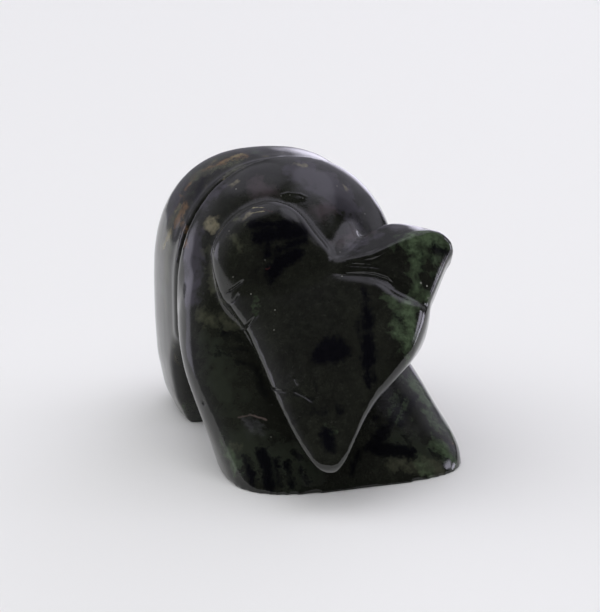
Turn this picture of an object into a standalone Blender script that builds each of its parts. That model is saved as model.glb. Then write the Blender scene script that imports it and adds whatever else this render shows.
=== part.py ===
"""A small bear carved from one piece of jasper, standing on four feet with its head lowered.

Metres, +Z up, the bear's nose towards -Y and its left side towards +X. The origin is on
the surface that it stands on, under the middle of its bounding box.
"""

import math

import bmesh
import bpy
import numpy as np
from mathutils import Matrix, Vector

MM = 0.001

# Overall size
HEIGHT = 33.0 * MM  # ground to the top of the shoulders
UNIT = HEIGHT / 33  # every proportion below is a count of thirty-thirds of the height

# Barrel, shoulders and haunches, as stations along Y:
# (y, centre x, half width, underside, top, share of the height that is widest, dome power)
BARREL = [
    (-12.6, 1.8, 3.3, 12.0, 18.3, 0.5, 1.0),
    (-11.0, 1.6, 5.6, 9.0, 22.4, 0.5, 1.0),
    (-9.4, 1.3, 7.2, 6.0, 24.7, 0.5, 1.0),
    (-7.4, 0.8, 9.4, 3.0, 27.3, 0.5, 1.0),
    (-5.0, 0.3, 11.6, 0.0, 30.1, 0.52, 0.98),
    (-2.0, 0.2, 13.15, -2.4, 32.4, 0.53, 0.94),
    (1.0, 0.15, 13.3, -2.4, 33.1, 0.53, 0.93),
    (3.5, 0.2, 12.8, -2.4, 32.1, 0.53, 0.9),
    (6.0, 0.3, 13.2, -2.4, 32.6, 0.53, 0.86),
    (9.5, 0.4, 13.45, -2.4, 32.8, 0.52, 0.82),
    (13.0, 0.5, 13.35, -2.4, 32.1, 0.52, 0.81),
    (16.5, 0.5, 12.4, -2.4, 30.1, 0.52, 0.84),
    (19.8, 0.5, 10.6, -2.0, 26.0, 0.53, 0.9),
    (22.4, 0.5, 7.7, -0.6, 20.0, 0.55, 0.96),
    (23.9, 0.5, 4.6, 3.2, 14.6, 0.6, 1.0),
]
FOOT_TAPER = 0.3  # how far the flank comes in at the ground
BLANK_FLOOR = -2.0  # the blank is cut off here, below the ground, and ground flat at the end

# Forelegs, one block, as slices going up:
# (z, centre x, half width, front y, back y, squareness)
FORELEGS = [
    (-2.8, 2.4, 12.6, -22.0, -4.6, 3.4),
    (0.4, 2.2, 13.5, -20.8, -4.2, 3.2),
    (2.5, 1.85, 13.7, -19.4, -3.6, 2.9),
    (5.0, 0.95, 13.5, -17.5, -2.6, 2.5),
    (8.0, -0.05, 13.3, -15.0, -1.0, 2.3),
    (11.0, -1.0, 12.9, -12.6, 1.0, 2.2),
    (14.0, -1.1, 12.6, -10.8, 3.6, 2.2),
    (18.0, -1.0, 12.2, -9.0, 4.0, 2.2),
    (22.0, -0.4, 11.2, -7.4, 4.0, 2.2),
]

# Head: its own frame starts at the notch between the ears and runs down the face
CROWN = (1.8, -12.2, 22.8)
HEAD_TURN = math.radians(21.0)  # towards the bear's right
FACE_SLOPE = math.radians(49.0)  # below the horizontal
# (distance down the face, reach to its right and left, thickness, squareness right and left,
# how far the left side draws in towards the back)
FACE = [
    (-0.6, 3.5, 4.1, 6.0, 2.8, 2.8, 0.3),
    (0.6, 9.4, 8.6, 8.5, 3.0, 2.8, 0.2),
    (2.2, 12.9, 10.3, 9.0, 3.6, 3.2, 0.06),
    (4.2, 13.0, 10.2, 9.0, 3.8, 3.6, 0.0),
    (7.2, 10.9, 9.65, 8.6, 3.6, 3.6, 0.03),
    (10.1, 9.45, 9.05, 8.0, 3.4, 3.4, 0.23),
    (13.1, 7.95, 7.2, 7.4, 3.6, 3.2, 0.4),
    (15.2, 6.8, 5.2, 6.9, 4.6, 3.8, 0.38),
    (17.6, 5.5, 3.7, 6.2, 5.4, 4.6, 0.36),
    (19.8, 4.3, 2.7, 5.4, 5.4, 5.0, 0.36),
    (21.6, 3.15, 1.95, 4.4, 5.0, 5.0, 0.36),
    (22.8, 2.25, 1.25, 3.2, 4.4, 4.4, 0.36),
    (23.6, 1.3, 0.5, 1.6, 3.6, 3.6, 0.36),
]
RIGHT_DRAWN_IN = 0.34  # how far the right side draws in towards the back

# Nape: the slope between the ears, from the shoulders down to the crown, in the head's frame
# leaned back a little, with the same columns as the face
NAPE_LEAN = math.radians(-15)
NAPE_LEVEL = -0.3
NAPE = [
    (-7.0, 2.5, 2.5, 8.0, 3.0, 3.0, 0.34),
    (-4.5, 2.4, 3.0, 8.0, 3.0, 3.0, 0.34),
    (-2.2, 1.9, 2.1, 7.0, 3.0, 3.0, 0.34),
    (-0.2, 1.3, 1.3, 6.0, 3.0, 3.0, 0.34),
    (1.0, 0.8, 0.8, 4.0, 3.0, 3.0, 0.34),
]

# Right ear, in a plane hinged on the head: points (across, down) that its outline passes
# smoothly through, and (hinge's distance down, its depth, lean forward, half thickness)
EAR_RIGHT = [
    (-0.2, -2.4),
    (-2.4, -6.2),
    (-4.8, -8.9),
    (-8.0, -9.6),
    (-11.6, -7.8),
    (-13.6, -4.6),
    (-13.5, -1.6),
    (-12.0, 2.2),
    (-8.4, 4.4),
    (-3.2, 3.4),
]
EAR_RIGHT_LIE = (2.0, -2.4, math.radians(23), 2.8)

# Left ear, a wedge seen from its front: at each distance across, (down, out) of the ridge
# along its top, of its back edge and of its lower edge
EAR_LEFT = [
    (-0.6, 0.4, -0.2, -0.4, -0.8, 0.9, -0.2),
    (1.5, -0.2, 0.25, -2.6, -1.6, 1.0, 0.1),
    (3.0, -0.65, 0.4, -4.9, -2.4, 1.1, 0.1),
    (5.2, -1.5, 0.5, -6.5, -2.7, 1.9, 0.0),
    (7.0, -2.5, 0.5, -6.7, -2.7, 3.0, -0.4),
    (8.8, -3.6, 0.3, -6.2, -2.6, 4.0, -1.2),
    (10.1, -4.2, -0.1, -5.8, -2.6, 3.5, -1.9),
    (11.2, -4.4, -0.8, -5.3, -2.6, 0.8, -2.2),
    (12.1, -4.1, -1.4, -4.6, -2.6, -1.6, -2.4),
    (12.8, -3.6, -2.2, -3.8, -2.8, -2.8, -2.7),
]
EAR_LEFT_ROOT = 5.8  # how deep the wedge goes into the head
EAR_LEFT_TAPER = (0.8, 0.4)  # how far its back and lower edges draw together on the way in
EAR_LEFT_DISH = 0.35  # how far its front is hollowed

# An ear's pillow: how round its rim is, in degrees and as a power, and its slices to each side
RIM_TURN = math.radians(80)
RIM_POWER = 0.75
RIM_STEPS = 7

# Brow crease under the left ear, in the head's frame: centre line (across, down, out), radius
BROW_CREASE = [
    (-2.0, 1.3, 0.8, 0.5),
    (-0.7, 1.4, 0.5, 0.55),
    (1.0, 1.25, 0.3, 0.6),
    (3.0, 1.4, 0.2, 0.65),
    (5.2, 1.95, 0.1, 0.75),
    (6.6, 2.95, -0.1, 0.8),
    (8.4, 3.7, -0.5, 0.8),
    (10.0, 4.2, -1.2, 0.85),
    (12.0, 4.8, -3.0, 1.0),
]

# Cleft between the hind legs, at the back: (x, y, z, radius)
HIND_CLEFT = [
    (0.5, 23.6, -4.0, 3.0),
    (0.5, 23.8, 3.0, 2.6),
    (0.5, 24.4, 8.0, 2.0),
    (0.5, 25.2, 12.5, 1.4),
]

# Groove round the body behind the shoulders
GROOVE_Y = 1.6
GROOVE_HALF = 2.4
GROOVE_DEPTH = 2.4

# Notch under the belly
NOTCH_FRONT = -6.5
NOTCH_BACK = 5.8
NOTCH_TOP = 12.4

COARSE = 0.45  # grain of the blanks
FINE = 0.3  # grain of the finished carving
TRIANGLES = 9300

# Stone: near-black green, polished
STONE = (0.022, 0.032, 0.024, 1.0)
STONE_ROUGHNESS = 0.16


def clear_scene():
    for obj in list(bpy.data.objects):
        bpy.data.objects.remove(obj)


def catmull_rom(rows, steps, closed=False):
    """Points on a smooth curve through rows, steps to each span, ends included."""
    rows = np.array(rows, float)
    if closed:
        padded = np.vstack([rows[-1], rows, rows[:2]])
    else:
        padded = np.vstack([2 * rows[0] - rows[1], rows, 2 * rows[-1] - rows[-2]])
    out = []
    for i in range(len(padded) - 3):
        a, b, c, d = padded[i : i + 4]
        for k in range(steps):
            t = k / steps
            out.append(
                0.5
                * (
                    2 * b
                    + (c - a) * t
                    + (2 * a - 5 * b + 4 * c - d) * t**2
                    + (3 * b - a - 3 * c + d) * t**3
                )
            )
    if not closed:
        out.append(rows[-1])
    return out


def loft(bm, rings):
    """A closed skin over rings of points, all with the same count, capped at both ends."""
    made = [[bm.verts.new(p) for p in ring] for ring in rings]
    for low, high in zip(made, made[1:]):
        count = len(low)
        for i in range(count):
            j = (i + 1) % count
            bm.faces.new((low[i], low[j], high[j], high[i]))
    bm.faces.new(list(reversed(made[0])))
    bm.faces.new(made[-1])


def barrel_section(y, centre, half, low, top, waist_share, dome, count=40):
    """The body's outline at y: straight flanks and a domed back."""
    waist = max(low + 1.0, top * waist_share)
    ring = []
    for i in range(count):
        angle = 2 * math.pi * i / count
        c, s = math.cos(angle), math.sin(angle)
        if s >= 0:
            x = half * math.copysign(abs(c) ** dome, c)
            z = waist + (top - waist) * s**dome
        else:
            drop = min(1.0, -s * 1.6)
            x = half * (1 - FOOT_TAPER * drop**4) * math.copysign(min(1.0, abs(c) * 2.2) ** 0.6, c)
            z = waist + (low - waist) * drop
        ring.append(Vector((centre + x, y, z)) * UNIT)
    return ring


def barrel(bm):
    loft(bm, [barrel_section(*row) for row in catmull_rom(BARREL, 4)])


def superellipse(count, power):
    """Points (x, y) round a unit superellipse."""
    out = []
    for i in range(count):
        angle = 2 * math.pi * i / count
        c, s = math.cos(angle), math.sin(angle)
        x = math.copysign(abs(c) ** (2 / power), c)
        y = math.copysign(abs(s) ** (2 / power), s)
        out.append((x, y))
    return out


def forelegs(bm):
    rings = []
    for z, centre, half, front, back, square in catmull_rom(FORELEGS, 4):
        middle, reach = (front + back) / 2, (back - front) / 2
        outline = superellipse(40, square)
        ring = [Vector((centre + half * x, middle + reach * y, z)) * UNIT for x, y in outline]
        rings.append(ring)
    loft(bm, rings)


def head_frame():
    """Matrix from (across, down, out) in the head to the bear's frame."""
    turn, slope = HEAD_TURN, FACE_SLOPE
    across = Vector((math.cos(turn), -math.sin(turn), 0))
    ahead = Vector((-math.sin(turn), -math.cos(turn), 0))
    down = ahead * math.cos(slope) + Vector((0, 0, -math.sin(slope)))
    out = down.cross(across)
    frame = Matrix((across, down, out)).transposed().to_4x4()
    frame.translation = Vector(CROWN) * UNIT
    return frame


def hinged(frame, hinge, level, lean):
    """frame moved down by hinge and out by level, then leaned forward."""
    frame = frame @ Matrix.Translation(Vector((0, hinge, level)) * UNIT)
    return frame @ Matrix.Rotation(-lean, 4, "X")


def slab(bm, frame, rows):
    """A block under the frame's plane whose sections follow rows, drawn in towards its back."""
    rings = []
    for down, right, left, thick, square_right, square_left, drawn_in in catmull_rom(rows, 4):
        right_half = superellipse(36, square_right)
        left_half = superellipse(36, square_left)
        ring = []
        for a, b in zip(right_half, left_half):
            x, y = a if a[0] < 0 else b
            reach, taper = (right, RIGHT_DRAWN_IN) if x < 0 else (left, drawn_in)
            across = x * reach * (1 - taper * (1 - y) / 2)
            ring.append(frame @ (Vector((across, down, thick * (y - 1) / 2)) * UNIT))
        rings.append(ring)
    loft(bm, rings)


def pillow(bm, frame, points, lie):
    """A slab with a smooth outline through points, whose faces bulge, thickest at the middle."""
    hinge, level, lean, half = lie
    frame = hinged(frame, hinge, level, lean)
    outline = catmull_rom(points, 4, closed=True)
    count = len(outline)
    cx = sum(p[0] for p in outline) / count
    cy = sum(p[1] for p in outline) / count
    rings = []
    for k in range(-RIM_STEPS, RIM_STEPS + 1):
        angle = k / RIM_STEPS * RIM_TURN
        spread = math.cos(angle) ** RIM_POWER
        rise = half * math.sin(angle) / math.sin(RIM_TURN)
        ring = []
        for x, y in outline:
            place = Vector((cx + (x - cx) * spread, cy + (y - cy) * spread, rise))
            ring.append(frame @ (place * UNIT))
        rings.append(ring)
    loft(bm, rings)


def wedge(bm, frame, rows):
    """The left ear: a section at each distance across, from its ridge round to its lower edge."""
    rings = []
    for across, *places in catmull_rom(rows, 4):
        ridge, rear, low = (np.array(places[i : i + 2]) for i in (0, 2, 4))
        dish = (ridge + low) / 2 - (0, EAR_LEFT_DISH)
        back_root = (rear[0] + EAR_LEFT_TAPER[0], -EAR_LEFT_ROOT)
        low_root = (low[0] - EAR_LEFT_TAPER[1], -EAR_LEFT_ROOT)
        corners = [ridge, rear, back_root, low_root, low, dish]
        ring = []
        for a, b in zip(corners, corners[1:] + corners[:1]):
            for t in (0.0, 0.5):
                down, out = np.array(a) * (1 - t) + np.array(b) * t
                ring.append(frame @ (Vector((across, down, out)) * UNIT))
        rings.append(ring)
    loft(bm, rings)


def tube(bm, frame, rows):
    """A round bar of changing radius along rows of (across, down, out, radius)."""
    path = catmull_rom(rows, 4)
    spots = [Vector(p[:3]) for p in path]
    rings = []
    for i, spot in enumerate(spots):
        ahead = (spots[min(i + 1, len(spots) - 1)] - spots[max(i - 1, 0)]).normalized()
        upright = abs(ahead.z) > 0.8
        side = ahead.cross(Vector((0, 1, 0) if upright else (0, 0, 1))).normalized()
        lift = side.cross(ahead)
        ring = []
        for k in range(16):
            angle = 2 * math.pi * k / 16
            ray = side * math.cos(angle) + lift * math.sin(angle)
            ring.append(frame @ ((spot + ray * path[i][3]) * UNIT))
        rings.append(ring)
    loft(bm, rings)


def new_object(name, bm):
    bmesh.ops.recalc_face_normals(bm, faces=bm.faces)
    mesh = bpy.data.meshes.new(name)
    bm.to_mesh(mesh)
    bm.free()
    obj = bpy.data.objects.new(name, mesh)
    bpy.context.scene.collection.objects.link(obj)
    return obj


def ring_groove():
    """A ring of triangular section that follows the torso's outline behind the shoulders."""
    row = next(r for r in catmull_rom(BARREL, 16) if r[0] >= GROOVE_Y)
    outline = barrel_section(*row)
    middle = Vector((row[1], 0, row[4] / 2)) * UNIT
    made = []
    bm = bmesh.new()
    for offset, grow in ((-GROOVE_HALF, 1.0), (0.0, -GROOVE_DEPTH), (GROOVE_HALF, 1.0)):
        ring = []
        for p in outline:
            away = Vector((p.x - middle.x, 0, p.z - middle.z)).normalized()
            place = Vector((p.x, (GROOVE_Y + offset) * UNIT, p.z)) + away * grow * UNIT
            ring.append(bm.verts.new(place))
        made.append(ring)
    count = len(outline)
    for a in range(3):
        b = (a + 1) % 3
        for i in range(count):
            j = (i + 1) % count
            bm.faces.new((made[a][i], made[a][j], made[b][j], made[b][i]))
    return new_object("groove_tool", bm)


def belly_notch():
    """An arch sawn through from flank to flank under the belly."""
    middle = (NOTCH_FRONT + NOTCH_BACK) / 2
    half = (NOTCH_BACK - NOTCH_FRONT) / 2
    outline = [(NOTCH_FRONT, -4.0), (NOTCH_BACK, -4.0)]
    for i in range(17):
        angle = math.pi * i / 16
        y = middle + half * math.cos(angle)
        z = NOTCH_TOP * abs(math.sin(angle)) ** 0.6
        outline.append((y, z))
    bm = bmesh.new()
    loft(bm, [[Vector((x, y, z)) * UNIT for y, z in outline] for x in (-20.0, 20.0)])
    return new_object("notch_tool", bm)


def ground_block(level):
    """A block that fills everything below level."""
    bm = bmesh.new()
    size = Matrix.Diagonal((60 * UNIT, 80 * UNIT, 10 * UNIT, 1))
    place = Matrix.Translation((0, 0, (level - 5) * UNIT))
    bmesh.ops.create_cube(bm, size=1.0, matrix=place @ size)
    return new_object("ground_tool", bm)


def hollow(frame, rows):
    bm = bmesh.new()
    tube(bm, frame, rows)
    return new_object("hollow_tool", bm)


def apply_modifiers(obj):
    """Replace obj's mesh with what its modifiers make of it."""
    graph = bpy.context.evaluated_depsgraph_get()
    mesh = bpy.data.meshes.new_from_object(obj.evaluated_get(graph))
    obj.modifiers.clear()
    obj.data = mesh


def boolean(obj, other, operation):
    """Join other to obj or cut it from obj, and use it up."""
    cut = obj.modifiers.new(other.name, "BOOLEAN")
    cut.operation = operation
    cut.object = other
    apply_modifiers(obj)
    bpy.data.objects.remove(other)


def smooth_blank(obj, grain, passes):
    """Merge obj's overlapping shapes into one skin and round its edges."""
    skin = obj.modifiers.new("skin", "REMESH")
    skin.mode = "VOXEL"
    skin.voxel_size = grain * UNIT
    soften = obj.modifiers.new("soften", "SMOOTH")
    soften.factor = 0.5
    soften.iterations = passes
    apply_modifiers(obj)


def body_blank():
    bm = bmesh.new()
    barrel(bm)
    body = new_object("bear", bm)
    bm = bmesh.new()
    forelegs(bm)
    boolean(body, new_object("forelegs", bm), "UNION")
    boolean(body, belly_notch(), "DIFFERENCE")
    boolean(body, ground_block(BLANK_FLOOR), "DIFFERENCE")
    boolean(body, hollow(Matrix.Identity(4), HIND_CLEFT), "DIFFERENCE")
    smooth_blank(body, COARSE, 14)
    boolean(body, ring_groove(), "DIFFERENCE")
    return body


def head_blank():
    bm = bmesh.new()
    frame = head_frame()
    slab(bm, frame, FACE)
    slab(bm, hinged(frame, 0.0, NAPE_LEVEL, NAPE_LEAN), NAPE)
    pillow(bm, frame, EAR_RIGHT, EAR_RIGHT_LIE)
    wedge(bm, frame, EAR_LEFT)
    head = new_object("head", bm)
    smooth_blank(head, FINE, 2)
    boolean(head, hollow(frame, BROW_CREASE), "DIFFERENCE")
    return head


def thin_out(obj, triangles):
    """Collapse edges until about this many triangles are left."""
    now = sum(len(face.vertices) - 2 for face in obj.data.polygons)
    thin = obj.modifiers.new("thin", "DECIMATE")
    thin.ratio = min(1.0, triangles / now)
    apply_modifiers(obj)


def centre_on_ground(obj):
    """Move obj's mesh until the origin is under the middle of its box, at its feet."""
    corners = np.array([vertex.co for vertex in obj.data.vertices])
    low, high = corners.min(axis=0), corners.max(axis=0)
    shift = Vector((-(low[0] + high[0]) / 2, -(low[1] + high[1]) / 2, -low[2]))
    obj.data.transform(Matrix.Translation(shift))
    return shift


def stone():
    made = bpy.data.materials.new("jasper")
    made.use_nodes = True
    shader = made.node_tree.nodes["Principled BSDF"]
    shader.inputs["Base Color"].default_value = STONE
    shader.inputs["Roughness"].default_value = STONE_ROUGHNESS
    return made


def build():
    clear_scene()
    bear = body_blank()
    boolean(bear, head_blank(), "UNION")
    smooth_blank(bear, FINE, 3)
    thin_out(bear, TRIANGLES)
    boolean(bear, ground_block(0.0), "DIFFERENCE")
    shift = centre_on_ground(bear)
    bear.data.materials.clear()
    bear.data.materials.append(stone())
    return shift


SHIFT = build()
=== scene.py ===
# %% [markdown]
# A small bear carved from one piece of dark green jasper
#
# The real carving is ground on a wheel, polished until it reflects like wet glass, and left
# without eyes or mouth. So this lesson has three parts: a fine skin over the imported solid,
# with the wheel's cuts made crisp again; a stone whose minerals lie where they should; and a
# bright, plain studio, because a black polished stone shows little but its reflections.

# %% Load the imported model
import math

import bmesh
import bpy
import numpy as np
from mathutils import Matrix, Vector
from mathutils.bvhtree import BVHTree
from mathutils.kdtree import KDTree


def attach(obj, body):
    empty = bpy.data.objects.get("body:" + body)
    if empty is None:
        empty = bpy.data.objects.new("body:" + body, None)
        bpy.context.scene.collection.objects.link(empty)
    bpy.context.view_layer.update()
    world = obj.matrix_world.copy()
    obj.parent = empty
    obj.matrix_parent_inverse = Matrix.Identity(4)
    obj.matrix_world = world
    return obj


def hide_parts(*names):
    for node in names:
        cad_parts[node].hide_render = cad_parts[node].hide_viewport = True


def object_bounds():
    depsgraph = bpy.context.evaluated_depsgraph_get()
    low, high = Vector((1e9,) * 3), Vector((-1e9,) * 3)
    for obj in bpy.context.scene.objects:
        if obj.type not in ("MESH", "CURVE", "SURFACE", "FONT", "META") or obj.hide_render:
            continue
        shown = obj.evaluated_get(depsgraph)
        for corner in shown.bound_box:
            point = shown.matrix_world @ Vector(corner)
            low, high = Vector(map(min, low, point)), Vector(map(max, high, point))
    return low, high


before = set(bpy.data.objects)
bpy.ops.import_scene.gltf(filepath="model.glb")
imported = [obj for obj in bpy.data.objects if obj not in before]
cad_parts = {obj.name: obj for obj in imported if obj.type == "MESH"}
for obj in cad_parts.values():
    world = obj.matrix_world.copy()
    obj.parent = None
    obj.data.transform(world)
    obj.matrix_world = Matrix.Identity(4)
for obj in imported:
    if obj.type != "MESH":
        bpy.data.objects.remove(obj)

MM = 0.001
CAD_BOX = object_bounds()
print("solid's box, mm:", [[round(v / MM, 2) for v in corner] for corner in CAD_BOX])

# %% [markdown]
# The photograph looks down a little on the bear, from in front and from its right. Its
# camera is written as a compass direction, a height, a distance and the point that it looks
# The same numbers also turn a pixel of the photograph into a ray, which later finds the
# place on the stone for each cut, each patch of mineral and each patch of painted light.

# %% The photograph's camera
VIEW_AZIMUTH = math.radians(-18)
VIEW_HEIGHT = math.radians(14)
VIEW_DISTANCE = 160 * MM
VIEW_TARGET = Vector((-0.98, -0.737, 15.0)) * MM
FRAME_WIDTH, FRAME_HEIGHT = 600, 612
CENTRE_PIXEL = (291.5, 311.5)
FOCAL_PIXELS = 1384.0
SENSOR = 36.0

back = Vector((
    math.sin(VIEW_AZIMUTH) * math.cos(VIEW_HEIGHT),
    -math.cos(VIEW_AZIMUTH) * math.cos(VIEW_HEIGHT),
    math.sin(VIEW_HEIGHT),
))
right = (-back).cross(Vector((0, 0, 1))).normalized()
up = right.cross(-back)
eye = VIEW_TARGET + back * VIEW_DISTANCE

camera = bpy.data.objects.new("camera", bpy.data.cameras.new("camera"))
bpy.context.scene.collection.objects.link(camera)
turned = Matrix((right, up, back)).transposed().to_4x4()
turned.translation = eye
camera.matrix_world = turned
camera.data.sensor_width = SENSOR
camera.data.lens = FOCAL_PIXELS / FRAME_HEIGHT * SENSOR
camera.data.shift_x = (FRAME_WIDTH / 2 - CENTRE_PIXEL[0]) / FRAME_HEIGHT
camera.data.shift_y = (CENTRE_PIXEL[1] - FRAME_HEIGHT / 2) / FRAME_HEIGHT
camera.data.clip_start = MM
bpy.context.scene.camera = camera
print("lens, mm:", round(camera.data.lens, 1))

# %% [markdown]
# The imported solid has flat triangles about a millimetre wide, too coarse for a polished
# stone. A voxel remesh lays an even skin of small squares over it. Smoothing then takes the
# facets out. Plain smoothing would shrink the ears, so each pass that pulls the points in is
# followed by one that pushes them out again.

# %% Lay a fine skin over the solid
GRAIN = 0.31 * MM


def applied(obj):
    """The mesh that obj's modifiers make."""
    graph = bpy.context.evaluated_depsgraph_get()
    return bpy.data.meshes.new_from_object(obj.evaluated_get(graph))


def resampled(source, name):
    """A copy of source in even squares, GRAIN wide."""
    piece = bpy.data.objects.new(name, source.data.copy())
    bpy.context.scene.collection.objects.link(piece)
    skin = piece.modifiers.new("skin", "REMESH")
    skin.mode = "VOXEL"
    skin.voxel_size = GRAIN
    mesh = applied(piece)
    piece.modifiers.clear()
    piece.data = mesh
    return piece


bear = resampled(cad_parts["bear"], "bear_carving")
print("squares:", len(bear.data.polygons))

# %% Take the facets out
SMOOTH_PASSES = 18


def points_of(mesh):
    flat = np.empty(len(mesh.vertices) * 3)
    mesh.vertices.foreach_get("co", flat)
    return flat.reshape(-1, 3)


def normals_of(mesh):
    flat = np.empty(len(mesh.vertices) * 3)
    mesh.vertices.foreach_get("normal", flat)
    return flat.reshape(-1, 3)


def edges_of(mesh):
    flat = np.empty(len(mesh.edges) * 2, np.int32)
    mesh.edges.foreach_get("vertices", flat)
    return flat.reshape(-1, 2)


def put_points(mesh, points):
    mesh.vertices.foreach_set("co", points.astype(np.float32).ravel())
    mesh.update()


def neighbour_mean(points, edges):
    """The mean of each point's neighbours."""
    a, b = edges.T
    count = len(points)
    share = np.bincount(edges.ravel(), minlength=count)[:, None]
    total = [
        np.bincount(a, points[b, k], count) + np.bincount(b, points[a, k], count)
        for k in range(3)
    ]
    return np.stack(total, 1) / share


def relax(points, edges, passes, pull=0.5, push=-0.52):
    """Smooth without shrinking: pull in, then push back out."""
    for _ in range(passes):
        for step in (pull, push):
            points = points + step * (neighbour_mean(points, edges) - points)
    return points


points = points_of(bear.data)
before = points.copy()
points = relax(points, edges_of(bear.data), SMOOTH_PASSES)
put_points(bear.data, points)
moved = np.linalg.norm(points - before, axis=1)
print("smoothing moved points by up to", round(moved.max() / MM, 3), "mm")

# %% [markdown]
# Every cut and patch below is given as points in the photograph. Marks are often painted on
# an image that is wrapped round the piece, but this stone has no image. A ray from the
# camera through each point finds the stone instead, so a mark sits on it from any side.

# %% From a pixel to the stone
stone_shape = BVHTree.FromPolygons(
    [v.co for v in bear.data.vertices],
    [tuple(p.vertices) for p in bear.data.polygons],
)


def on_stone(x, y):
    """The place on the stone that the photograph shows at pixel x, y, or None."""
    ray = right * (x - CENTRE_PIXEL[0]) + up * (CENTRE_PIXEL[1] - y) - back * FOCAL_PIXELS
    return stone_shape.ray_cast(eye, ray.normalized())[0]


print("middle of the face, mm:", [round(v / MM, 1) for v in on_stone(320, 320)])

# %% [markdown]
# The wheel left short cuts: a double line under the left ear, nicks on the right temple and
# jaw, and a line across the cheek. The hump has a shallow chip, and the left ear a crest. A
# bump in the material could draw all this, but it would leave the mesh smooth, so here the
# mesh itself is cut. A negative depth raises a crest.

# %% Where the cuts are, in pixels, with their width and depth in millimetres
CUTS = {
    "brow": (
        0.55, 0.16,
        [(334, 273.5), (347, 274), (362, 274), (374, 275), (386, 279), (394, 286)],
    ),
    "brow above": (0.6, 0.10, [(343, 264.5), (356, 265), (372, 266), (384, 268.5)]),
    "temple": (0.4, 0.22, [(225.5, 293), (230, 290.5), (236, 286.5), (243, 281)]),
    "temple side": (0.45, 0.14, [(231, 303), (235, 299), (239, 293)]),
    "jaw": (0.5, 0.32, [(242.5, 330), (246, 326.5), (251, 321), (257, 315.5)]),
    "cheek": (0.35, 0.2, [(265, 386), (270, 388), (277, 390), (285, 392)]),
    "cheek end": (0.3, 0.1, [(294, 391), (301, 394.5), (306, 397), (312, 402)]),
    "tick": (0.25, 0.08, [(294, 377), (297.5, 385)]),
    "ear crest": (
        0.9, -0.12,
        [(341, 259), (357, 258.5), (372, 256), (384, 250), (396, 244), (410, 238)],
    ),
    "hump chip": (0.8, 0.035, [(279, 199), (286, 203), (297, 203), (306, 200)]),
    "hump chip rim": (0.4, -0.045, [(280, 195), (288, 193), (300, 194), (307, 197)]),
    "leg nick": (0.6, 0.12, [(202, 401), (205, 405)]),
}
print("cuts:", ", ".join(CUTS))

# %% [markdown]
# A cut's path is found on the stone ray by ray. It is much narrower than the squares of the
# skin, so the squares near it are split first. Then the points within its width go down, most
# along its middle.

# %% The cuts' paths over the stone
STEP = 0.04 * MM


def along(places):
    """Points every STEP along straight lines through places."""
    out = []
    for a, b in zip(places, places[1:]):
        count = max(1, int((b - a).length / STEP))
        out += [a.lerp(b, i / count) for i in range(count)]
    return out + [places[-1]]


def path_on_stone(pixels, spacing=1.0):
    """The path over the stone that covers the line through pixels, spacing pixels at a time."""
    spots = []
    for (x0, y0), (x1, y1) in zip(pixels, pixels[1:]):
        count = max(1, int(math.hypot(x1 - x0, y1 - y0) / spacing))
        spots += [(x0 + (x1 - x0) * i / count, y0 + (y1 - y0) * i / count) for i in range(count)]
    found = [on_stone(x, y) for x, y in spots + [pixels[-1]]]
    return along([p for p in found if p is not None])


paths = {name: path_on_stone(pixels) for name, (_, _, pixels) in CUTS.items()}
print("points on the paths:", sum(len(path) for path in paths.values()))

# %% Split the squares near the cuts
SPLIT_REACHES = (0.75 * MM, 0.5 * MM)
SPARSE = 4  # a path's points lie so close that every fourth will do here


def split_near(mesh, places, reach):
    """Split each edge whose two ends are within reach of places."""
    near = KDTree(len(places))
    for i, p in enumerate(places):
        near.insert(p, i)
    near.balance()
    bm = bmesh.new()
    bm.from_mesh(mesh)
    close = {v for v in bm.verts if near.find(v.co)[2] < reach}
    edges = [e for e in bm.edges if e.verts[0] in close and e.verts[1] in close]
    bmesh.ops.subdivide_edges(bm, edges=edges, cuts=1, use_grid_fill=True)
    bmesh.ops.triangulate(bm, faces=[f for f in bm.faces if len(f.verts) > 4])
    bm.to_mesh(mesh)
    bm.free()


everywhere = [p for path in paths.values() for p in path[::SPARSE]]
for reach in SPLIT_REACHES:
    split_near(bear.data, everywhere, reach)
print("faces after splitting:", len(bear.data.polygons))

# %% Make the cuts
END_SHARE = 0.15  # of the depth, kept at a cut's two ends
FADE = 4.0  # full depth is reached this many times faster than over the whole length
ROUNDING = 1.5


def cut(points, normals, path, width, depth):
    """Lower the points within width of path, fading to END_SHARE of the depth at its two ends."""
    tree = KDTree(len(path))
    for i, p in enumerate(path):
        tree.insert(p, i)
    tree.balance()
    low = np.array(path).min(0) - width
    high = np.array(path).max(0) + width
    for i in np.nonzero(((points > low) & (points < high)).all(1))[0]:
        _, k, away = tree.find(points[i])
        if away < width / 2:
            share = k / (len(path) - 1)
            fade = min(1.0, FADE * share + END_SHARE, FADE * (1 - share) + END_SHARE)
            fall = (1 - (away / (width / 2)) ** 2) ** ROUNDING
            points[i] -= normals[i] * depth * fade * fall


points, normals = points_of(bear.data), normals_of(bear.data)
uncut = points.copy()
for name, (width, depth, _) in CUTS.items():
    cut(points, normals, paths[name], width * MM, depth * MM)
points = np.clip(points, *CAD_BOX)  # flat soles, and nothing outside the solid's box
put_points(bear.data, points)
moved = np.linalg.norm(points - uncut, axis=1)
print("points moved:", np.count_nonzero(moved), " by up to", round(moved.max() / MM, 2), "mm")

# %% [markdown]
# The stone's own colour is nearly black. Over it lie the minerals: black blotches and
# streaks, olive and green clouds, rusty and yellow seams, pale grains. Painted light lies over
# them too: a warm and a cool painted sheen on the lit tops and rims, and thin painted
# highlights under the right ear's rim. Noise alone would give a stone of the same sort, but
# with its patches elsewhere. So each kind is one colour, laid by one mask, and the mask is the
# union of short thick lines. A node group measures how far a place is from such a line, and
# the same group serves for every patch.

# %% Nodes that do sums


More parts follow.
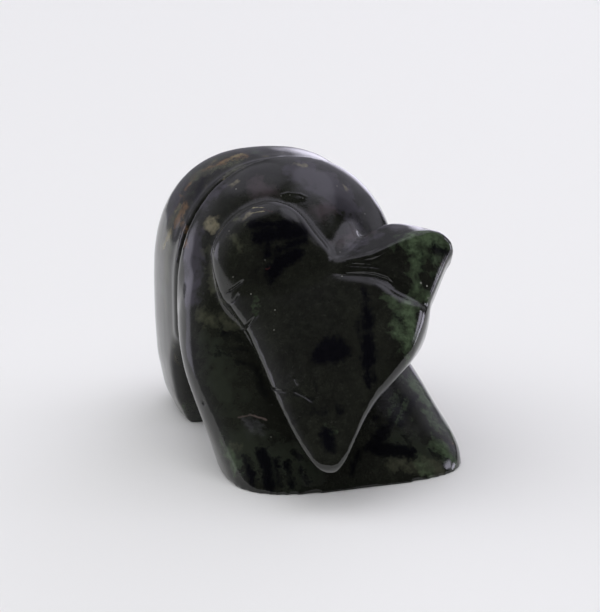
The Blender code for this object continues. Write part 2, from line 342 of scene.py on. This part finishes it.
def feed(tree, node, values):
    """Give the node's inputs, in order, a socket or a plain value each."""
    for slot, value in zip(node.inputs, values):
        if isinstance(value, bpy.types.NodeSocket):
            tree.links.new(value, slot)
        else:
            slot.default_value = value


def vector_math(tree, operation, *values):
    """A Vector Math node fed with sockets or plain values; the node itself comes back."""
    node = tree.nodes.new("ShaderNodeVectorMath")
    node.operation = operation
    feed(tree, node, values)
    return node


def number_math(tree, operation, *values):
    """A Math node fed with sockets or plain values; its result comes back."""
    node = tree.nodes.new("ShaderNodeMath")
    node.operation = operation
    feed(tree, node, values)
    return node.outputs[0]


def held(tree, value):
    """value kept between 0 and 1. So many Math nodes with Clamp on overfill Cycles' stack."""
    return number_math(tree, "MINIMUM", number_math(tree, "MAXIMUM", value, 0.0), 1.0)


print("node helpers:", [f.__name__ for f in (feed, vector_math, number_math, held)])

# %% The line that a patch is made from


def group_with(name, wanted, given):
    """A node group with these input and output sockets, and its two end nodes."""
    tree = bpy.data.node_groups.new(name, "ShaderNodeTree")
    for label, kind in wanted:
        tree.interface.new_socket(label, in_out="INPUT", socket_type=kind)
    for label, kind in given:
        tree.interface.new_socket(label, in_out="OUTPUT", socket_type=kind)
    return tree, tree.nodes.new("NodeGroupInput"), tree.nodes.new("NodeGroupOutput")


def line_group():
    """Mask of a thick line: 0 at its reach, 1 one edge further in, and unbounded past both."""
    vector, number = "NodeSocketVector", "NodeSocketFloat"
    wanted = [("Place", vector), ("From", vector), ("Span", vector)]
    wanted += [("Reach", number), ("Edge", number)]
    tree, start, end = group_with("thick line", wanted, [("Mask", number)])
    place, origin, span, reach, edge = start.outputs[:5]
    away = vector_math(tree, "SUBTRACT", place, origin).outputs[0]
    along_it = vector_math(tree, "DOT_PRODUCT", away, span).outputs["Value"]
    length = vector_math(tree, "DOT_PRODUCT", span, span).outputs["Value"]
    share = held(tree, number_math(tree, "DIVIDE", along_it, length))
    nearest = vector_math(tree, "SCALE", span)
    tree.links.new(share, nearest.inputs["Scale"])
    gap = vector_math(tree, "DISTANCE", away, nearest.outputs[0]).outputs["Value"]
    spare = number_math(tree, "SUBTRACT", reach, gap)
    mask = number_math(tree, "DIVIDE", spare, edge)
    tree.links.new(mask, end.inputs["Mask"])
    return tree


THICK_LINE = line_group()
print("group sockets:", [s.name for s in THICK_LINE.interface.items_tree])

# %% [markdown]
# A patch has no smooth outline. So the place that the lines are measured from is first
# pushed about by noise: a slow one bends the outlines, a fast one frays them.

# %% Frayed places
stone = bpy.data.materials.new("jasper")
stone.use_nodes = True
tree = stone.node_tree
shader = tree.nodes["Principled BSDF"]

where = tree.nodes.new("ShaderNodeTexCoord")
in_mm = vector_math(tree, "SCALE", where.outputs["Object"])
in_mm.inputs["Scale"].default_value = 1 / MM
PLACE = in_mm.outputs[0]


def noise(tree, place, scale, detail=3.0, roughness=0.55, distortion=0.0):
    """A noise texture, scale waves to the millimetre."""
    node = tree.nodes.new("ShaderNodeTexNoise")
    tree.links.new(place, node.inputs["Vector"])
    node.inputs["Scale"].default_value = scale
    node.inputs["Detail"].default_value = detail
    node.inputs["Roughness"].default_value = roughness
    node.inputs["Distortion"].default_value = distortion
    return node


def frayed(place, scale, amount):
    """place, pushed about by up to amount millimetres."""
    wander = noise(tree, place, scale, detail=4.0, roughness=0.6).outputs["Color"]
    centred = vector_math(tree, "SUBTRACT", wander, (0.5, 0.5, 0.5)).outputs[0]
    push = vector_math(tree, "SCALE", centred)
    push.inputs["Scale"].default_value = 2 * amount
    return vector_math(tree, "ADD", place, push.outputs[0]).outputs[0]


SOFT = frayed(PLACE, 0.9, 0.6)  # for clouds
ROUGH = frayed(PLACE, 2.4, 0.8)  # for patches
BENT = frayed(PLACE, 2.5, 0.2)  # for thin lines
print("nodes for the places:", len(tree.nodes))

# %% [markdown]
# The minerals and the painted light follow, by kind. A patch is a reach in millimetres and
# the pixels at the two ends of its middle line. A round grain has one pixel.

# %% Where the black and green minerals lie
# blotches and streaks on the face, the ears and the forelegs
BLACK = [
    (1.75, (335, 349), (331, 352)), (1.3, (320, 356), (328, 354)),
    (0.65, (365, 289), (366, 303)), (0.95, (367, 310), (367, 325)),
    (0.5, (357, 322), (359, 337)), (1.05, (368, 338), (369, 360)),
    (0.7, (367, 366), (368, 384)), (0.5, (373, 370), (373, 382)),
    (0.3, (340, 238), (352, 229)), (0.3, (352, 229), (368, 222)),
    (0.85, (251, 225), (292, 225)), (1.15, (260, 237), (304, 232)),
    (0.7, (266, 241), (268, 256)), (0.85, (304, 241), (280, 250)),
    (1.1, (296, 253), (272, 270)), (0.6, (279, 268), (271, 280)),
    (0.7, (434, 248), (446, 252)), (0.35, (431, 252), (433, 270)),
    (0.3, (421, 250), (424, 275)), (0.4, (435, 275), (433, 297)),
    (0.3, (398, 250), (408, 246)), (0.25, (383, 262), (391, 256)),
    (0.55, (314, 412), (326, 412)), (0.45, (337, 405), (341, 414)),
    (1.0, (325, 434), (330, 446)),
    (0.45, (296, 392), (310, 399)), (0.3, (315, 385), (317, 389)),
    (0.35, (225, 338), (246, 341)), (0.35, (217, 347), (248, 351)),
    (0.3, (212, 354), (238, 354)), (0.45, (238, 361), (257, 368)),
    (0.5, (222, 333), (240, 335)), (0.5, (257, 370), (265, 395)),
    (0.75, (246, 457), (252, 483)), (0.95, (262, 451), (270, 485)),
    (0.6, (275, 460), (280, 484)), (0.65, (287, 465), (292, 484)),
    (0.55, (300, 470), (308, 484)), (0.5, (293, 452), (300, 458)),
    (0.7, (391, 385), (376, 418)), (0.7, (404, 396), (388, 428)),
    (0.7, (415, 396), (401, 424)), (1.0, (384, 430), (376, 442)),
    (1.1, (372, 448), (410, 452)), (0.5, (406, 436), (412, 452)),
    (0.6, (358, 452), (352, 474)), (0.45, (432, 452), (450, 462)),
    (0.6, (172, 350), (178, 395)), (0.7, (196, 200), (202, 180)),
    (0.2, (247, 178), (258, 171)), (0.2, (258, 171), (270, 174)),
    (0.2, (270, 174), (279, 188)), (0.25, (353, 229), (366, 223)),
    (0.25, (256, 270), (249, 283)), (0.5, (396, 314), (404, 328)),
]
# small marks, mostly on the shoulders
OLIVE = [
    (0.9, (210, 223), (214, 229)), (0.35, (343, 185), (346, 189)), (0.35, (293, 162), (303, 166)),
    (0.35, (224, 178), (242, 168)), (0.3, (231, 186), (237, 181)), (0.35, (242, 222), (250, 213)),
]
# broad dark clouds on the forelegs
FOREST = [
    (3.2, (238, 445), (300, 470)), (2.4, (395, 440), (425, 455)), (2.2, (212, 345), (228, 400)),
]
# on the haunch, the right shoulder, the right ear and the paws
MOSS = [
    (0.8, (208, 250), (213, 268)), (0.8, (211, 272), (215, 290)), (0.45, (219, 299), (225, 303)),
    (1.0, (201, 314), (212, 322)), (0.8, (222, 318), (236, 327)), (0.5, (226, 328), (243, 336)),
    (0.6, (236, 218), (243, 224)), (0.5, (232, 236), (240, 248)), (1.2, (169, 242), (166, 278)),
    (1.3, (196, 176), (236, 162)), (1.2, (166, 236), (178, 212)), (0.8, (228, 176), (240, 166)),
    (0.7, (232, 445), (238, 450)), (1.2, (395, 462), (440, 470)),
]
# the brightest green, mostly on the left ear, cheek and foreleg
GREEN = [
    (1.7, (410, 238), (430, 238)), (1.3, (434, 239), (443, 246)),
    (1.3, (411, 246), (419, 256)), (1.1, (413, 258), (418, 290)),
    (0.9, (434, 258), (438, 285)), (1.0, (420, 290), (428, 298)),
    (1.1, (393, 300), (398, 314)), (1.5, (408, 305), (410, 330)),
    (1.4, (400, 326), (408, 345)), (0.8, (412, 345), (406, 362)),
    (1.8, (413, 382), (427, 402)), (1.3, (404, 402), (398, 416)),
    (1.1, (426, 410), (441, 430)), (1.5, (440, 446), (454, 462)),
    (1.0, (416, 462), (430, 474)), (0.9, (224, 446), (236, 468)),
    (0.5, (399, 241), (394, 246)), (0.35, (326, 427), (331, 429)),
    (0.5, (258, 300), (258, 322)), (0.5, (389, 400), (400, 396)),
]
print("black:", len(BLACK), " green:", len(OLIVE + FOREST + MOSS + GREEN))

# %% Where the rusty and pale minerals lie, and the painted light
# mostly on the haunch, beside the groove
RUST = [
    (1.0, (224, 161), (240, 156)), (0.6, (206, 170), (220, 163)), (0.9, (176, 222), (185, 207)),
    (0.7, (182, 223), (185, 245)), (0.35, (186, 188), (195, 178)),
]
YELLOW = [
    (0.75, (163, 247), (170, 233)), (0.8, (230, 159), (240, 155)), (0.4, (176, 212), (180, 205)),
    (0.4, (210, 164), (216, 160)), (0.3, (258, 157), (266, 156)),
    (0.2, (206, 219), (218, 226)),
]
# thin painted highlights along the bevel under the right ear's top rim, and red hairlines by the
# ear
PAINTED_RIM_HIGHLIGHTS = [(0.09, (252, 208), (264, 207.5)), (0.08, (251, 213.5), (264, 211))]
RED = [(0.09, (264, 209.5), (273, 212)), (0.09, (266, 269.5), (271, 267.5))]
# painted sheen, warm and cool: the room's reflection on the lit tops and rims, mostly the
# shoulders
PAINTED_WARM_SHEEN = [
    (1.0, (340, 243), (356, 232)), (0.9, (356, 232), (372, 232)),
    (1.5, (258, 186), (266, 192)), (1.2, (318, 212), (330, 210)),
]
PAINTED_COOL_SHEEN = [
    (1.7, (194, 240), (190, 296)), (1.3, (203, 205), (222, 186)), (2.6, (305, 172), (345, 200)),
    (1.8, (348, 208), (384, 226)), (1.2, (376, 236), (352, 247)), (0.8, (248, 423), (256, 431)),
]
# a broken spot on the right foreleg, and the thin vein over it
PALE = [
    (0.4, (244, 420), (254, 431)), (0.3, (252, 421), (263, 426)), (0.25, (258, 428), (262, 436)),
]
VEIN = [
    (0.12, (238, 417.5), (251, 415)), (0.16, (251, 415), (266, 419.5)),
]
# round specks
GRAINS = [
    (0.09, (236, 189)), (0.1, (214, 251)), (0.09, (251, 294)), (0.08, (233, 277)),
    (0.09, (365, 214)), (0.07, (340, 252)), (0.1, (342, 276)), (0.14, (421, 283)),
    (0.13, (427, 286)), (0.08, (275, 310)), (0.08, (271, 437)), (0.07, (229, 231)),
    (0.07, (281, 196)), (0.07, (290, 195)), (0.07, (303, 198)), (0.09, (337, 186)),
    (0.1, (428, 298)), (0.08, (274, 330)), (0.1, (382, 251)), (0.07, (265, 260)),
]
print("rusty and yellow:", len(RUST + YELLOW), " grains:", len(GRAINS))

# %% [markdown]
# The ground isn't quite black. Three noises vary it: slow clouds, a mottling and fine specks.
# A ramp of many colours on one noise would tie them together, so each noise has its own
# colour, mixed over the last one where that noise is high.

# %% Three noises
clouds = noise(tree, PLACE, 0.16, detail=5.0, roughness=0.6, distortion=0.8).outputs["Fac"]
mottle = noise(tree, PLACE, 1.5, detail=6.0, roughness=0.7).outputs["Fac"]
speckle = noise(tree, PLACE, 5.0, detail=2.0, roughness=0.6).outputs["Fac"]
print("nodes so far:", len(tree.nodes))

# %% The ground colour
BLACK_GREEN = (0.009, 0.0094, 0.0076)
# (noise, where the colour starts, where it is full, its most, colour), in this order
GROUND = [
    (clouds, 0.4, 0.65, 1.0, (0.015, 0.0162, 0.012)),
    (mottle, 0.45, 0.75, 0.35, (0.03, 0.034, 0.023)),
    (speckle, 0.62, 0.78, 0.4, (0.05, 0.052, 0.045)),
]


def graded(value, low, high, to_low=0.0, to_high=1.0):
    """value's range from low to high, turned into to_low to to_high, and held there."""
    node = tree.nodes.new("ShaderNodeMapRange")
    tree.links.new(value, node.inputs["Value"])
    wanted = {"From Min": low, "From Max": high, "To Min": to_low, "To Max": to_high}
    for label, number in wanted.items():
        node.inputs[label].default_value = number
    return node.outputs["Result"]


def mixed(factor, a, b):
    """Colour a where factor is 0 and b where it is 1."""
    node = tree.nodes.new("ShaderNodeMix")
    node.data_type = "RGBA"
    slots = (node.inputs["Factor"], node.inputs["A"], node.inputs["B"])
    for slot, value in zip(slots, (factor, a, b)):
        if isinstance(value, bpy.types.NodeSocket):
            tree.links.new(value, slot)
        else:
            slot.default_value = (*value, 1)
    return node.outputs["Result"]


colour = BLACK_GREEN
for field, low, high, most, paint in GROUND:
    colour = mixed(graded(field, low, high, 0.0, most), colour, paint)
print("ground colours:", 1 + len(GROUND))

# %% [markdown]
# The photograph doesn't show the rump, the left flank and the left side of the head. They
# get patches from noise instead: one lies wherever a slow noise is high. A rusty seam lies
# where such a noise is close to a half, and is kept only in some regions. Every patch is
# thinned by the mottling, so that the ground shows through it.

# %% Minerals on the sides that the photograph doesn't show
UNSEEN_BEHIND = (4.0, 10.0)  # millimetres towards the rump, where they start and are full
UNSEEN_LEFT = (11.0, 14.0)  # millimetres towards the bear's left
MOTTLE_RANGE = (0.4, 0.58)
THINNEST = 0.45  # share of a patch left where the mottling is low
SEAM_HALF = 0.01
SEAM_MOST = 0.7
SEAM_REGIONS = (0.48, 0.56)
SEAM_COLOUR = (0.13, 0.075, 0.035)
# (waves to the millimetre, noise where it starts, noise where it is full, colour)
UNSEEN_PATCHES = [
    (0.17, 0.52, 0.64, (0.042, 0.04, 0.048)),
    (0.24, 0.53, 0.64, (0.034, 0.043, 0.028)),
    (0.33, 0.57, 0.67, (0.06, 0.086, 0.05)),
    (0.41, 0.62, 0.68, (0.12, 0.11, 0.075)),
    (0.5, 0.6, 0.64, (0.0025, 0.0025, 0.004)),
]


def both(a, b):
    """Two masks multiplied, or a mask and a number."""
    return number_math(tree, "MULTIPLY", a, b)


broken = graded(mottle, *MOTTLE_RANGE, THINNEST, 1.0)
across = tree.nodes.new("ShaderNodeSeparateXYZ")
tree.links.new(PLACE, across.inputs[0])
behind = graded(across.outputs["Y"], *UNSEEN_BEHIND)
unseen = number_math(tree, "MAXIMUM", behind, graded(across.outputs["X"], *UNSEEN_LEFT))
for scale, low, high, paint in UNSEEN_PATCHES:
    lie = noise(tree, PLACE, scale, detail=6.0, roughness=0.62, distortion=0.7).outputs["Fac"]
    colour = mixed(both(both(graded(lie, low, high), unseen), broken), colour, paint)
lie = noise(tree, PLACE, 0.12, detail=3.0, roughness=0.55, distortion=0.5).outputs["Fac"]
from_middle = number_math(tree, "ABSOLUTE", number_math(tree, "SUBTRACT", lie, 0.5))
seam = both(graded(from_middle, SEAM_HALF, 0.0, 0.0, SEAM_MOST), unseen)
seam = both(seam, graded(clouds, *SEAM_REGIONS))
colour = mixed(both(seam, broken), colour, SEAM_COLOUR)
print("noises on the unseen sides:", len(UNSEEN_PATCHES) + 1)

# %% [markdown]
# Last come the patches that were read from the photograph, the cloudy kinds first and the
# crisp ones over them. The lines of a kind make one mask. One more noise is added to it, so
# that its outline swells and shrinks, and the lines no longer show as lines.

# %% One mask for a kind's patches
LUMP_WAVES = 0.8  # to the millimetre
NOISE_SWING = 0.25  # how far a noise mostly strays from a half
DOT = Vector((0, 0, 0.01))  # added to a line's span, so that a round grain has one too

lumps = noise(tree, PLACE, LUMP_WAVES, detail=3.0, roughness=0.5).outputs["Fac"]


def mask_of(patches, place, edge, wander):
    """The union of the patches' masks. Its outline wanders by up to wander millimetres."""
    total = None
    for reach, *spots in patches:
        ends = [on_stone(*spot) for spot in (spots[0], spots[-1])]
        if None in ends:
            print("missed the stone:", spots)
            continue
        ends = [end / MM for end in ends]
        node = tree.nodes.new("ShaderNodeGroup")
        node.node_tree = THICK_LINE
        tree.links.new(place, node.inputs["Place"])
        node.inputs["From"].default_value = ends[0]
        node.inputs["Span"].default_value = ends[1] - ends[0] + DOT
        node.inputs["Reach"].default_value = reach
        node.inputs["Edge"].default_value = edge
        mask = node.outputs["Mask"]
        total = mask if total is None else number_math(tree, "MAXIMUM", total, mask)
    if wander:
        gain = wander / edge / NOISE_SWING
        swell = number_math(tree, "MULTIPLY_ADD", lumps, gain, -gain / 2)
        total = number_math(tree, "ADD", total, swell)
    return held(tree, total)


print("lumps in an outline, mm apart:", 1 / LUMP_WAVES)

# %% Minerals and painted light read from the photograph
# (patches, where they are measured, soft edge in mm, most, wander of the outline in mm, colour)
KINDS = [
    # the first two kinds are painted sheen: the room's reflection, put into the colour
    (PAINTED_COOL_SHEEN, SOFT, 1.2, 0.8, 1.2, (0.046, 0.043, 0.053)),
    (PAINTED_WARM_SHEEN, SOFT, 1.1, 0.45, 0.8, (0.085, 0.064, 0.073)),
    (FOREST, SOFT, 2.0, 0.8, 1.5, (0.026, 0.031, 0.022)),
    (MOSS, ROUGH, 0.7, 1.0, 0.6, (0.054, 0.057, 0.038)),
    (OLIVE, SOFT, 0.45, 1.0, 0.4, (0.17, 0.155, 0.105)),
    (GREEN, ROUGH, 1.5, 0.95, 0.9, (0.08, 0.116, 0.064)),
    (RUST, ROUGH, 0.6, 0.85, 0.5, (0.13, 0.075, 0.036)),
    (YELLOW, ROUGH, 0.6, 0.8, 0.4, (0.18, 0.155, 0.08)),
    (BLACK, ROUGH, 0.55, 0.95, 0.3, (0.0025, 0.0025, 0.004)),
    # painted highlights: thin bright lines along the right ear's rim bevel
    (PAINTED_RIM_HIGHLIGHTS, BENT, 0.08, 0.8, 0.0, (0.3, 0.27, 0.16)),
    (PALE, ROUGH, 0.6, 0.8, 0.0, (0.075, 0.075, 0.078)),
    (VEIN, BENT, 0.2, 0.8, 0.0, (0.2, 0.15, 0.14)),
    (RED, BENT, 0.08, 0.6, 0.0, (0.06, 0.02, 0.018)),
    (GRAINS, PLACE, 0.06, 0.8, 0.0, (0.3, 0.3, 0.27)),
]
BROKEN_KINDS = (MOSS, OLIVE, GREEN, RUST, YELLOW)  # thinned by the mottling
for patches, place, edge, strength, wander, paint in KINDS:
    mask = both(mask_of(patches, place, edge, wander), strength)
    if patches in BROKEN_KINDS:
        mask = both(mask, broken)
    colour = mixed(mask, colour, paint)
tree.links.new(colour, shader.inputs["Base Color"])
print("stone's nodes:", len(tree.nodes))

# %% [markdown]
# The polish isn't the same all over. Softer minerals take less of it, so the roughness
# wanders a little, and a very low bump of pits breaks up the reflections. A clear coat would
# shine as well, but here the stone's own face is polished, so it has quartz's refractive
# index and no coat.

# %% Polish
QUARTZ_INDEX = 1.54
POLISH_BEST, POLISH_WORST = 0.08, 0.16
POLISH_OVER = (0.3, 0.7)  # the mottling's values between which it goes from best to worst
PIT_SHARE, PIT_DEPTH = 0.3, 0.02 * MM

polish = graded(mottle, *POLISH_OVER, POLISH_BEST, POLISH_WORST)
tree.links.new(polish, shader.inputs["Roughness"])
bump = tree.nodes.new("ShaderNodeBump")
bump.inputs["Strength"].default_value = PIT_SHARE
bump.inputs["Distance"].default_value = PIT_DEPTH
tree.links.new(speckle, bump.inputs["Height"])
tree.links.new(bump.outputs["Normal"], shader.inputs["Normal"])
shader.inputs["IOR"].default_value = QUARTZ_INDEX

bear.data.materials.clear()
bear.data.materials.append(stone)
bear.data.shade_smooth()
print("roughness:", POLISH_BEST, "to", POLISH_WORST)

# %% [markdown]
# The bear stands on a plain pale sheet. A flat disc does for it, wide enough to fill every
# view from above. It lies a hair below the soles, so that the two never share a plane.

# %% Floor
FLOOR_REACH = 3.0
FLOOR_DROP = 0.02 * MM
FLOOR_SIDES = 96
FLOOR_COLOUR, FLOOR_ROUGHNESS = (0.82, 0.825, 0.8), 0.9


def plain(name, colour, roughness):
    made = bpy.data.materials.new(name)
    made.use_nodes = True
    given = made.node_tree.nodes["Principled BSDF"].inputs
    given["Base Color"].default_value = (*colour, 1)
    given["Roughness"].default_value = roughness
    return made


bm = bmesh.new()
bmesh.ops.create_circle(bm, cap_ends=True, segments=FLOOR_SIDES, radius=FLOOR_REACH)
floor_mesh = bpy.data.meshes.new("floor")
bm.to_mesh(floor_mesh)
bm.free()
floor = bpy.data.objects.new("floor", floor_mesh)
floor.location.z = -FLOOR_DROP
bpy.context.scene.collection.objects.link(floor)
floor.data.materials.append(plain("floor_paper", FLOOR_COLOUR, FLOOR_ROUGHNESS))
print("floor, m across:", 2 * FLOOR_REACH)

# %% [markdown]
# The floor is lit by two wide suns that the stone doesn't mirror. What the stone mirrors is
# the room: dark in front, where the photographer stands, pale behind the bear, with bright
# windows low on both sides and a lamp high up. Area lamps would do, but a patch of the world
# is placed by its direction alone, and a reflection shows no more than that. So each of these
# is a soft round patch, and where two overlap the brighter one counts. In the names, left and
# right are the photograph's. The camera sees a plain pale backdrop beyond the floor.

# %% Light for the floor
bpy.context.scene.view_settings.view_transform = "Standard"


def towards(compass, height):
    """The direction at these degrees; compass 0 is in front of the bear and 90 at its left."""
    around, above = math.radians(compass), math.radians(height)
    level = math.cos(above)
    return Vector((math.sin(around) * level, -math.cos(around) * level, math.sin(above)))


def sun(name, compass, height, spread, strength):
    """A sun, spread degrees wide, that reflections don't show."""
    lamp = bpy.data.lights.new(name, "SUN")
    lamp.angle = math.radians(spread)
    lamp.energy = strength
    made = bpy.data.objects.new(name, lamp)
    made.rotation_euler = towards(compass, height).to_track_quat("Z", "Y").to_euler()
    made.visible_glossy = False
    bpy.context.scene.collection.objects.link(made)


# (compass, height, width, strength), the first three in degrees
SUNS = {"overhead": (170, 72, 140, 1.55), "left fill": (-80, 40, 130, 0.95)}
for name, values in SUNS.items():
    sun(name, *values)
print("suns:", ", ".join(SUNS))

# %% The room that the stone mirrors
ROOM_DARK = 0.005
BACKDROP = (0.85, 0.845, 0.87)  # what a camera sees beyond the floor
ROOM_TINT = (0.96, 0.93, 1.1)
# (compass, height, full within, gone beyond, brightness), the first four in degrees
ROOM = {
    "rear wall": (-150, 22, 45, 81, 0.24),
    "rear right": (130, 42, 16, 36, 0.66),
    "right, low": (112, 22, 9, 21, 0.45),
    "rear left": (-120, 35, 8, 26, 0.42),
    "ceiling": (-145, 72, 18, 34, 0.7),
    "softbox": (92, 61, 12, 19, 1.05),
    "lamp": (53, 67, 3, 13, 0.65),
    "window": (144, 13, 8, 20, 2.5),
    "left window": (-124, 5, 11, 19, 1.5),
    "side window": (87, 2, 5, 9.5, 4.6),
    "side window, high": (77, 18, 4, 9, 3.5),
}

world = bpy.data.worlds.new("studio")
bpy.context.scene.world = world
world.use_nodes = True
sky = world.node_tree
looked = sky.nodes.new("ShaderNodeTexCoord").outputs["Generated"]
light = None
for compass, height, full, gone, brightness in ROOM.values():
    facing = vector_math(sky, "DOT_PRODUCT", looked, towards(compass, height)).outputs["Value"]
    spot = sky.nodes.new("ShaderNodeMapRange")
    spot.interpolation_type = "SMOOTHSTEP"
    edges = (math.cos(math.radians(gone)), math.cos(math.radians(full)))
    feed(sky, spot, (facing, *edges, ROOM_DARK, brightness))
    patch = spot.outputs["Result"]
    light = patch if light is None else number_math(sky, "MAXIMUM", light, patch)
tinted = vector_math(sky, "SCALE", ROOM_TINT)
sky.links.new(light, tinted.inputs["Scale"])
seen = sky.nodes.new("ShaderNodeLightPath").outputs["Is Camera Ray"]
backdrop = sky.nodes.new("ShaderNodeMix")
backdrop.data_type = "RGBA"
backdrop.inputs["B"].default_value = (*BACKDROP, 1)
sky.links.new(seen, backdrop.inputs["Factor"])
sky.links.new(tinted.outputs[0], backdrop.inputs["A"])
sky.links.new(backdrop.outputs["Result"], sky.nodes["Background"].inputs["Color"])
print("room:", ", ".join(ROOM))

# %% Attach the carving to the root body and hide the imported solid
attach(bear, "root")
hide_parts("bear")
